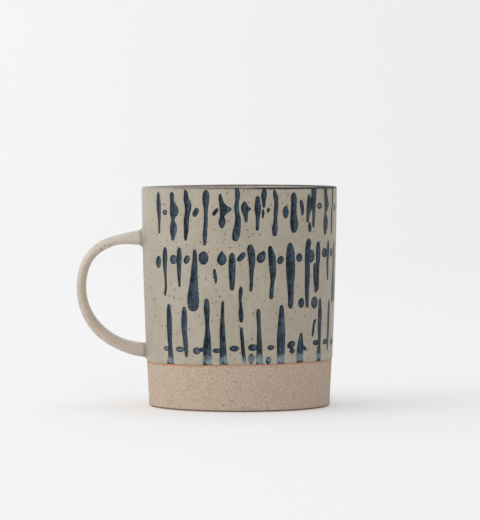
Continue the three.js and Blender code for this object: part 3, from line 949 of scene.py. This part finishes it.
def grain_group():
    """Fine grain: three sizes of noise added up as a value round one half, and the smallest of them
    as a height."""
    group, given, result = new_group("Fine grain", {"Vector": None, "Scale": 1000.0}, ["Value", "Height"])
    vector, scale = given["Vector"], given["Scale"]
    small = noise(group, vector, scale, 3.0, 0.6)
    middle = noise(group, vector, times(group, scale, 0.37))
    large = noise(group, vector, times(group, scale, 0.09))
    total = added(group, times(group, small, 0.5), times(group, middle, 0.3), times(group, large, 0.2))
    group.links.new(total, result["Value"])
    group.links.new(small, result["Height"])


def break_group():
    """A glaze break: the share of a broken edge that shows, from how near the edge is and a noise that
    frays it."""
    group, given, result = new_group(
        "Glaze break", {"Vector": None, "Distance": 1.0, "Reach": 0.5, "Fray": 0.3}, ["Mask"])
    centred = maths(group, "SUBTRACT", noise(group, given["Vector"], 900.0, 3.0), 0.5)
    shifted = added(group, given["Distance"], times(group, centred, given["Fray"]))
    group.links.new(between(group, shifted, given["Reach"], 0.0), result["Mask"])


def speckles(tree, vector, scale, size, share):
    """Mask of the spots on a share of the scattered points."""
    return use_group(tree, "Iron speckles", Vector=vector, Scale=scale, Size=size, Share=share)["Mask"]


def broken(tree, vector, distance, reach, fray):
    """Mask of a break that is whole at no distance and gone at its reach, frayed by a distance."""
    return use_group(tree, "Glaze break", Vector=vector, Distance=distance, Reach=reach, Fray=fray)["Mask"]


def new_material(name, **shader_values):
    """A material with its Principled shader, object coordinates, and constants on the shader's sockets."""
    material = bpy.data.materials.new(name)
    material.use_nodes = True
    tree = material.node_tree
    shader = tree.nodes["Principled BSDF"]
    for key, value in shader_values.items():
        shader.inputs[key.replace("_", " ")].default_value = value
    vector = add_node(tree, "ShaderNodeTexCoord").outputs["Object"]
    return material, tree, shader, vector


def finish_material(tree, shader, base, rough, height, relief):
    """Links the colour, the roughness and a relief in millimetres to the shader."""
    tree.links.new(base, shader.inputs["Base Color"])
    tree.links.new(rough, shader.inputs["Roughness"])
    bump = add_node(tree, "ShaderNodeBump", {"Height": height, "Distance": relief * MM, "Strength": 1.0})
    tree.links.new(bump.outputs[0], shader.inputs["Normal"])


# ---------------------------------------------------------------------------
# Finishes
# ---------------------------------------------------------------------------
GLAZE_SPECKLES = ((620.0, 0.2, 0.8, 0.35), (400.0, 0.21, 0.85, 0.8), (230.0, 0.14, 0.72, 1.0))


def oatmeal_base(tree, vector, iron, thin, thick_and_lit):
    """Colour of a satin glaze before any edge: slow mottling from a thin coat's colour to a thicker
    one's (on the handle both carry painted light), fine grain and three sizes of iron speckle, each with
    its scale, size, share and strength."""
    base = mixed(tree, between(tree, noise(tree, vector, 70.0, 3.0), 0.35, 0.65), thin, thick_and_lit)
    grain = use_group(tree, "Fine grain", Vector=vector, Scale=1500.0)
    shade = spread(tree, grain["Value"], 0.88, 1.1)
    grey = add_node(tree, "ShaderNodeCombineColor", {0: shade, 1: shade, 2: shade}).outputs[0]
    base = mixed(tree, 1.0, base, grey, "MULTIPLY")
    for scale, size, share, strength in GLAZE_SPECKLES:
        base = stained(tree, base, speckles(tree, vector, scale, size, share), strength, iron)
    return base, grain


def lip_strength(tree, vector):
    """How strongly the lip has broken to brown: least beside the handle."""
    return between(tree, part_of(tree, vector, "X"), -36 * MM, -4 * MM, 0.3, 0.95)


def outer_glaze_material(colours):
    """The satin coat on the wall: brown where it thins over the lip and at the line, and darkened with the
    dark indigo colour along part of the lip's crest."""
    material, tree, shader, vector = new_material("satin oatmeal glaze", Specular_IOR_Level=SATIN)
    base, grain = oatmeal_base(tree, vector, colours.iron, colours.oatmeal, colours.oatmeal_pale)
    lip = broken(tree, vector, attribute(tree, "below_lip"), 1.2, 0.35)
    base = stained(tree, base, lip, lip_strength(tree, vector), colours.break_brown)
    # Darker along part of the lip's crest, in the dark indigo colour.
    run = between(tree, lip, 0.1, 0.4)
    base = stained(tree, base, run, attribute(tree, "dark_crest_band"), colours.indigo_dark)
    line = broken(tree, vector, attribute(tree, "above_line"), 0.35, 0.25)
    base = stained(tree, base, line, 0.5, colours.break_brown)
    finish_material(tree, shader, base, spread(tree, grain["Value"], 0.42, 0.55), grain["Height"], 0.02)
    return material


def handle_glaze_material(colours):
    """The coat on the handle: paler than on the wall, with painted light that makes it palest on top and on
    its inner face, like the wall's near its roots, warm along the side ridges and brown where it meets the
    wall, a glaze break deepened there as painted shade."""
    material, tree, shader, vector = new_material("satin glaze on the handle", Specular_IOR_Level=SATIN)
    wall_gap = attribute(tree, "wall_gap")
    # Painted light: the top of the handle and its inner face are made paler, where light from above falls on
    # them.
    lit_top = between(tree, part_of(tree, vector, "Z"), 56 * MM, 74 * MM, 0.0, 0.7)
    thick_and_lit = maths(tree, "MAXIMUM", lit_top, between(tree, attribute(tree, "back"), -0.1, -0.8))
    near_wall = between(tree, wall_gap, 0.0, 3.0, 1.0, 0.0)
    warm = mixed(tree, thick_and_lit, colours.handle_warm, colours.handle_lit_face)
    warm = mixed(tree, near_wall, warm, colours.oatmeal)
    pale = mixed(tree, thick_and_lit, colours.handle_pale, colours.handle_lit_face)
    pale = mixed(tree, near_wall, pale, colours.oatmeal_pale)
    base, grain = oatmeal_base(tree, vector, colours.iron, warm, pale)
    from_ridge = times(tree, maths(tree, "SUBTRACT", 1.0, attribute(tree, "ridge")), 20.0)
    off_wall = between(tree, wall_gap, 6.0, 14.0, 0.0, 0.25)
    base = stained(tree, base, broken(tree, vector, from_ridge, 0.6, 1.0), off_wall, colours.flash_and_glint)
    # Brown where the handle meets the wall: a glaze break, deepened as painted shade in the corner of the
    # joint.
    from_joint = maths(tree, "ABSOLUTE", maths(tree, "SUBTRACT", wall_gap, 1.0))
    base = stained(tree, base, broken(tree, vector, from_joint, 1.0, 1.4), 0.42, colours.break_brown)
    finish_material(tree, shader, base, spread(tree, grain["Value"], 0.42, 0.55), grain["Height"], 0.02)
    return material


def clay_material(colours):
    """Raw sandy clay: pale and dark grains of several sizes, an orange line just under the glaze line, a
    dark line of painted shadow low on the foot's bevel, and below it an orange line of painted reflection
    along the edge that it stands on."""
    material, tree, shader, vector = new_material("raw sandy stoneware", Specular_IOR_Level=MATT)
    grain = use_group(tree, "Fine grain", Vector=vector, Scale=1300.0)
    sandy = noise(tree, vector, 2300.0, 3.0)
    base = mixed(tree, between(tree, sandy, 0.5, 0.7, 0.0, 0.55), colours.clay, colours.clay_pale)
    base = mixed(tree, between(tree, sandy, 0.5, 0.32, 0.0, 0.75), base, colours.clay_dark)
    base = mixed(tree, between(tree, grain["Value"], 0.5, 0.36, 0.0, 0.25), base, colours.clay_dark)
    base = stained(tree, base, speckles(tree, vector, 620.0, 0.24, 0.5), 0.6, colours.clay_dark)
    base = stained(tree, base, speckles(tree, vector, 260.0, 0.13, 0.6), 0.75, colours.iron)
    flash_and_glint = broken(tree, vector, attribute(tree, "below_line"), 1.0, 0.8)
    base = stained(tree, base, flash_and_glint, 0.9, colours.flash_and_glint)
    height = times(tree, part_of(tree, vector, "Z"), 1 / MM)
    # Painted reflection: an orange line along the very bottom edge, in the lowest 0.45 mm of height.
    base = stained(tree, base, broken(tree, vector, height, 0.45, 0.15), 0.9, colours.flash_and_glint)
    # Painted shadow: a dark line about 0.55 mm up the foot's bevel, where the contact shadow falls.
    from_shadow = maths(tree, "ABSOLUTE", maths(tree, "SUBTRACT", height, 0.55))
    base = stained(tree, base, broken(tree, vector, from_shadow, 0.36, 0.06), 0.95, colours.crease)
    finish_material(tree, shader, base, spread(tree, grain["Value"], 0.8, 0.95), grain["Height"], 0.09)
    return material


def lip_material(colours):
    """Thin glaze broken to brown over the crown of the lip, darkened with the dark indigo colour along part
    of its crest, and paler again inside. The break is whole within 60 degrees of turn from the lip's top
    and gone at 80."""
    material, tree, shader, vector = new_material("glaze broken on the lip", Specular_IOR_Level=SATIN)
    base, grain = oatmeal_base(tree, vector, colours.iron, colours.liner_thin, colours.liner)
    off_top = maths(tree, "ABSOLUTE", maths(tree, "SUBTRACT", attribute(tree, "turn"), 90.0))
    crown = maths(tree, "SUBTRACT", times(tree, off_top, 0.05), 3.0)
    edge = broken(tree, vector, crown, 1.0, 1.2)
    base = stained(tree, base, edge, lip_strength(tree, vector), colours.break_brown)
    # Darker along part of the lip's crest, in the dark indigo colour.
    run = broken(tree, vector, crown, 1.0, 0.5)
    base = stained(tree, base, run, attribute(tree, "dark_crest_band"), colours.indigo_dark)
    finish_material(tree, shader, base, spread(tree, grain["Value"], 0.45, 0.6), grain["Height"], 0.02)
    return material


def liner_material(colours):
    """The poured liner: paler and smoother, pooling darker towards the floor."""
    material, tree, shader, vector = new_material("smooth liner glaze", Specular_IOR_Level=SMOOTH)
    base, grain = oatmeal_base(tree, vector, colours.iron, colours.liner_thin, colours.liner)
    base = mixed(tree, between(tree, attribute(tree, "depth"), 60.0, 92.0, 0.0, 0.35), base, colours.oatmeal)
    finish_material(tree, shader, base, spread(tree, grain["Value"], 0.3, 0.42), grain["Height"], 0.01)
    return material


def indigo_material(colours):
    """Indigo pooled in a cut: dark along the edges, darker on the left as painted shade, lighter where it
    lies thin in the middle and on the right as painted light, milky just above the glaze line and dark
    again on the line."""
    material, tree, shader, vector = new_material("indigo glaze", Specular_IOR_Level=INKY)
    across, inside, hollow = (attribute(tree, name) for name in ("across", "inside", "hollow"))
    drawn_out = add_node(tree, "ShaderNodeMapping", {"Vector": vector, "Scale": (900.0, 900.0, 150.0)})
    streaks = noise(tree, drawn_out.outputs[0], 1.0, 3.0)
    blots = noise(tree, vector, 420.0, 3.0)
    stipple = noise(tree, vector, 1900.0)
    middle = between(tree, inside, 0.4, 1.1)
    light = added(
        tree,
        # Painted shade and light: darker on the mark's left and lighter on its right, as light from the left
        # falls into the cut.
        between(tree, across, -0.7, 0.9, 0.04, 0.42),
        spread(tree, streaks, -0.2, 0.26),
        spread(tree, blots, -0.12, 0.16),
        spread(tree, stipple, -0.24, 0.28),
        between(tree, attribute(tree, "tone"), 0.0, 1.0, -0.04, 0.1),
        times(tree, times(tree, hollow, middle), 0.3),
    )
    # Painted light: the right flank is kept off the dark edges, so only the left edge darkens as painted
    # shade.
    lit_right_flank = between(tree, across, 0.1, 0.8, 0.0, 0.85)
    off_edge = maths(tree, "MAXIMUM", between(tree, inside, 0.12, 0.75), lit_right_flank)
    share = maths(tree, "MULTIPLY", light, off_edge, clamp=True)
    base = mixed(tree, share, colours.indigo_dark, colours.indigo)
    pale = between(tree, hollow, 0.5, 1.0, 0.0, 0.35)
    base = stained(tree, base, pale, middle, colours.indigo_milky)
    wavering = added(tree, attribute(tree, "above_line"), spread(tree, blots, -1.0, 1.0))
    milky = times(tree, between(tree, wavering, 4.8, 2.2), between(tree, wavering, 0.5, 1.5))
    thin = times(tree, spread(tree, streaks, 0.45, 1.0), between(tree, inside, 0.0, 0.4, 0.75, 1.0))
    base = stained(tree, base, milky, thin, colours.indigo_milky)
    finish_material(tree, shader, base, spread(tree, streaks, 0.3, 0.48), stipple, 0.04)
    return material


def paper_material(paper):
    """Pale matt paper with a trace of tooth. It glows faintly as painted light, which lifts its shadows and
    lights the mug from behind and below.
    """
    # Painted light: the paper glows at a strength of 0.16 though it is no lamp.
    material, tree, shader, vector = new_material(
        "pale paper", Specular_IOR_Level=0.1, Emission_Color=(1, 1, 1, 1), Emission_Strength=0.16)
    tooth = noise(tree, vector, 400.0)
    base = mixed(tree, tooth, paper, [part * 0.985 for part in paper[:3]] + [1.0])
    finish_material(tree, shader, base, spread(tree, tooth, 0.85, 0.95), tooth, 0.01)
    return material


# ---------------------------------------------------------------------------
# Operators
# ---------------------------------------------------------------------------
CORE_INSET, JOINT_INSET = 0.9, 0.5  # how deep the handle's clay and the slip lie under its coat
JOINT_SHARE = 0.12  # share of the handle's length that each slip joint takes up


def settle(piece, material, slot, *nodes):
    """Gives a finished piece its material and its body, and hides the nodes it stands for. The slot is not
    used.
    """
    piece.data.materials.append(material)
    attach(piece, "root")
    if nodes:
        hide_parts(*nodes)


class MUG_OT_groups(bpy.types.Operator):
    """Make the node groups that the glazes and the clay share"""

    bl_idname = "mug.groups"
    bl_label = "Shared finishes"

    def execute(self, context):
        speckle_group()
        grain_group()
        break_group()
        return {"FINISHED"}


class MUG_OT_clay_cup(bpy.types.Operator):
    """Throw the clay cup with its bare foot"""

    bl_idname = "mug.clay_cup"
    bl_label = "Clay cup"

    def execute(self, context):
        scene = context.scene
        cup = clay_cup(Wall(scene.mug_shape))
        settle(cup, clay_material(scene.mug_colours), "raw_stoneware", "stoneware_cup")
        return {"FINISHED"}


class MUG_OT_glaze(bpy.types.Operator):
    """Dip the outside, pour the liner and finish the lip"""

    bl_idname = "mug.glaze"
    bl_label = "Outer, liner and lip glaze"

    def execute(self, context):
        scene = context.scene
        wall, colours = Wall(scene.mug_shape), scene.mug_colours
        marks = [mark for row in all_marks() for mark in row]
        settle(outer_coat(wall, marks), outer_glaze_material(colours), "oatmeal_glaze", "outer_glaze")
        settle(liner_coat(wall), liner_material(colours), "liner_glaze", "liner_glaze")
        settle(lip_coat(wall), lip_material(colours), "lip_glaze", "lip_glaze")
        return {"FINISHED"}


class MUG_OT_handle(bpy.types.Operator):
    """Pull the handle, stick it on with two slip joints and coat it"""

    bl_idname = "mug.handle"
    bl_label = "Handle and joints"

    def execute(self, context):
        scene = context.scene
        wall, clay = Wall(scene.mug_shape), bpy.data.materials["raw sandy stoneware"]
        core = strap("pulled_clay_handle", wall, 0, 1, CORE_INSET, 120, 48)
        settle(core, clay, "raw_stoneware", "handle")
        for side, start, end in (("upper", 0, JOINT_SHARE), ("lower", 1 - JOINT_SHARE, 1)):
            joint = strap(f"{side}_slip_joint", wall, start, end, JOINT_INSET, 40, 48)
            settle(joint, clay, "oatmeal_glaze", f"{side}_handle_joint")
        coat = strap("glaze_on_handle", wall, 0, 1, 0, 420, 120)
        settle(coat, handle_glaze_material(scene.mug_colours), "oatmeal_glaze", "handle_glaze")
        return {"FINISHED"}


class MUG_OT_marks(bpy.types.Operator):
    """Fill the three rows of carved marks with indigo glaze"""

    bl_idname = "mug.marks"
    bl_label = "Indigo marks"

    def execute(self, context):
        scene = context.scene
        wall, indigo = Wall(scene.mug_shape), indigo_material(scene.mug_colours)
        for name, row in zip(("top", "middle", "foot"), all_marks()):
            settle(filled_marks(f"indigo_{name}_row", wall, row), indigo, "indigo_glaze")
        return {"FINISHED"}


SWEEP_FRONT, SWEEP_TURN, SWEEP_RADIUS, SWEEP_TOP = -2600, 1500, 900, 3200  # of the sheet, in millimetres
SWEEP_HALF_WIDTH = 2800
WORLD_STRENGTH = 0.48
SENSOR_WIDTH = 36  # millimetres, as the lens is
CLIP_NEAR, CLIP_FAR = 0.05, 20  # metres
# Each soft box: its name, its place, what it faces and its two sizes in metres, its watts and its tint.
LIGHTS = (
    ("window", (-1.4, -0.9, 1.0), (0, 0, 0.05), (1.2, 1.2), 7.5, (1, 1, 1)),
    ("side", (-1.7, 0.1, 0.6), (0, 0, 0.05), (1.0, 0.9), 6.8, (1, 1, 1)),
    ("front", (0.2, -2.2, 0.9), (0, 0, 0.05), (1.4, 1.0), 7, (1, 0.97, 0.91)),
    ("ceiling", (0.1, 0.3, 2.2), (0, 0.4, 0), (2.2, 2.2), 12.5, (1, 1, 1)),
    ("backdrop wash", (-1.7, 1.6, 1.0), (-0.1, 2.5, 0.5), (1.0, 1.0), 9.5, (1, 1, 1)),
)


def paper_sweep(paper):
    """The backdrop: a sheet that lies flat under the mug, turns up in a wide quarter circle behind it
    and rises. It is a profile in Y and Z carried along X."""
    turn = np.radians(np.linspace(0, 90, 24))
    wall = SWEEP_TURN + SWEEP_RADIUS
    depth = np.concatenate([[SWEEP_FRONT, -400, 900], SWEEP_TURN + SWEEP_RADIUS * np.sin(turn), [wall]])
    height = np.concatenate([[0, 0, 0], SWEEP_RADIUS * (1 - np.cos(turn)), [SWEEP_TOP]])
    across = np.linspace(-SWEEP_HALF_WIDTH, SWEEP_HALF_WIDTH, 12)[None, :]
    points = np.stack(np.broadcast_arrays(across, depth[:, None], height[:, None]), -1)
    quads = grid_quads(len(depth), across.size, False, False)
    sheet = make_mesh("paper_sweep", points.reshape(-1, 3), quads)
    sheet.data.materials.append(paper_material(paper))
    return sheet


def area_light(name, place, target, size, power, tint):
    """A rectangular soft box at a place, turned to a target, in metres."""
    data = bpy.data.lights.new(name, "AREA")
    data.shape = "RECTANGLE"
    data.size, data.size_y = size
    data.energy = power
    data.color = tint
    light = bpy.data.objects.new(name, data)
    light.location = place
    light.rotation_euler = (Vector(target) - Vector(place)).to_track_quat("-Z", "Y").to_euler()
    bpy.context.scene.collection.objects.link(light)


class MUG_OT_stage(bpy.types.Operator):
    """Set the pale sweep, the soft light and the camera"""

    bl_idname = "mug.stage"
    bl_label = "Stage, light and camera"

    def execute(self, context):
        scene, stage = context.scene, context.scene.mug_stage
        paper_sweep(stage.paper)
        scene.world = bpy.data.worlds.new("soft studio")
        scene.world.use_nodes = True
        background = scene.world.node_tree.nodes["Background"]
        background.inputs["Color"].default_value = (1.0, 1.0, 1.0, 1.0)
        background.inputs["Strength"].default_value = WORLD_STRENGTH
        for light in LIGHTS:
            area_light(*light)
        camera = bpy.data.objects.new("camera", bpy.data.cameras.new("camera"))
        camera.data.lens = stage.lens
        camera.data.sensor_width = SENSOR_WIDTH
        camera.data.clip_start, camera.data.clip_end = CLIP_NEAR, CLIP_FAR
        camera.location = (stage.camera_side, -stage.distance, stage.camera_height)
        camera.rotation_euler = (np.pi / 2 - stage.pitch, 0, 0)
        scene.collection.objects.link(camera)
        scene.camera = camera
        scene.view_settings.view_transform = "Standard"
        return {"FINISHED"}


OPERATORS = (MUG_OT_groups, MUG_OT_clay_cup, MUG_OT_glaze, MUG_OT_handle, MUG_OT_marks, MUG_OT_stage)


class MUG_PT_panel(bpy.types.Panel):
    """Lists the steps of making the mug and its settings"""

    bl_label = "Carved stoneware mug"
    bl_idname = "MUG_PT_panel"
    bl_space_type = "VIEW_3D"
    bl_region_type = "UI"
    bl_category = "Mug"

    def draw(self, context):
        for operator in OPERATORS:
            self.layout.operator(operator.bl_idname)
        for settings in (context.scene.mug_shape, context.scene.mug_colours, context.scene.mug_stage):
            box = self.layout.box()
            for key in settings.__annotations__:
                box.prop(settings, key)


SETTINGS = {"mug_shape": MugShape, "mug_colours": MugColours, "mug_stage": MugStage}


def register():
    for settings in SETTINGS.values():
        bpy.utils.register_class(settings)
    for key, settings in SETTINGS.items():
        setattr(bpy.types.Scene, key, bpy.props.PointerProperty(type=settings))
    for cls in (*OPERATORS, MUG_PT_panel):
        bpy.utils.register_class(cls)


def unregister():
    for cls in (MUG_PT_panel, *reversed(OPERATORS)):
        bpy.utils.unregister_class(cls)
    for key in SETTINGS:
        delattr(bpy.types.Scene, key)
    for settings in SETTINGS.values():
        bpy.utils.unregister_class(settings)


def main():
    register()
    for step in ("groups", "clay_cup", "glaze", "handle", "marks", "stage"):
        getattr(bpy.ops.mug, step)()


if __name__ == "__main__":
    main()
